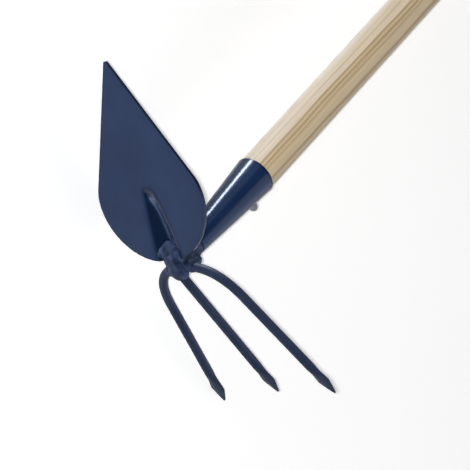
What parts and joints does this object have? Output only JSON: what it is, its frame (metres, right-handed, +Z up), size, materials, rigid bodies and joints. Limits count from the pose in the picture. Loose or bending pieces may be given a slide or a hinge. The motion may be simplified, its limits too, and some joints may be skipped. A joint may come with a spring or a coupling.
{
  "type": "combination garden hoe",
  "caption": "Long-handled garden hoe: a pointed heart-shaped blade on one side of a conical socket, a tined cultivator on the other, a round wooden handle; it lies on its side.",
  "frame": {"origin": "centre of the bounding box's base, on the floor that the tool lies on", "axes": "+X from the head to the handle's butt, level with the floor; +Y to the blade's point; +Z up, across the blade's width"},
  "size_m": [1.241, 0.2692, 0.1238],
  "materials": {
    "pine": "sanded and clear-waxed softwood round with straight grain",
    "dark_blue_paint": "glossy dark blue dip paint over forged and welded steel",
    "painted_nail": "the same paint over the nail's head"
  },
  "bodies": {
    "root": {"handle": "pine", "socket": "dark_blue_paint", "socket_nail": "painted_nail", "blade": "dark_blue_paint", "outer_tines": "dark_blue_paint", "middle_tine": "dark_blue_paint", "hub_weld": "dark_blue_paint"}
  },
  "joints": []
}
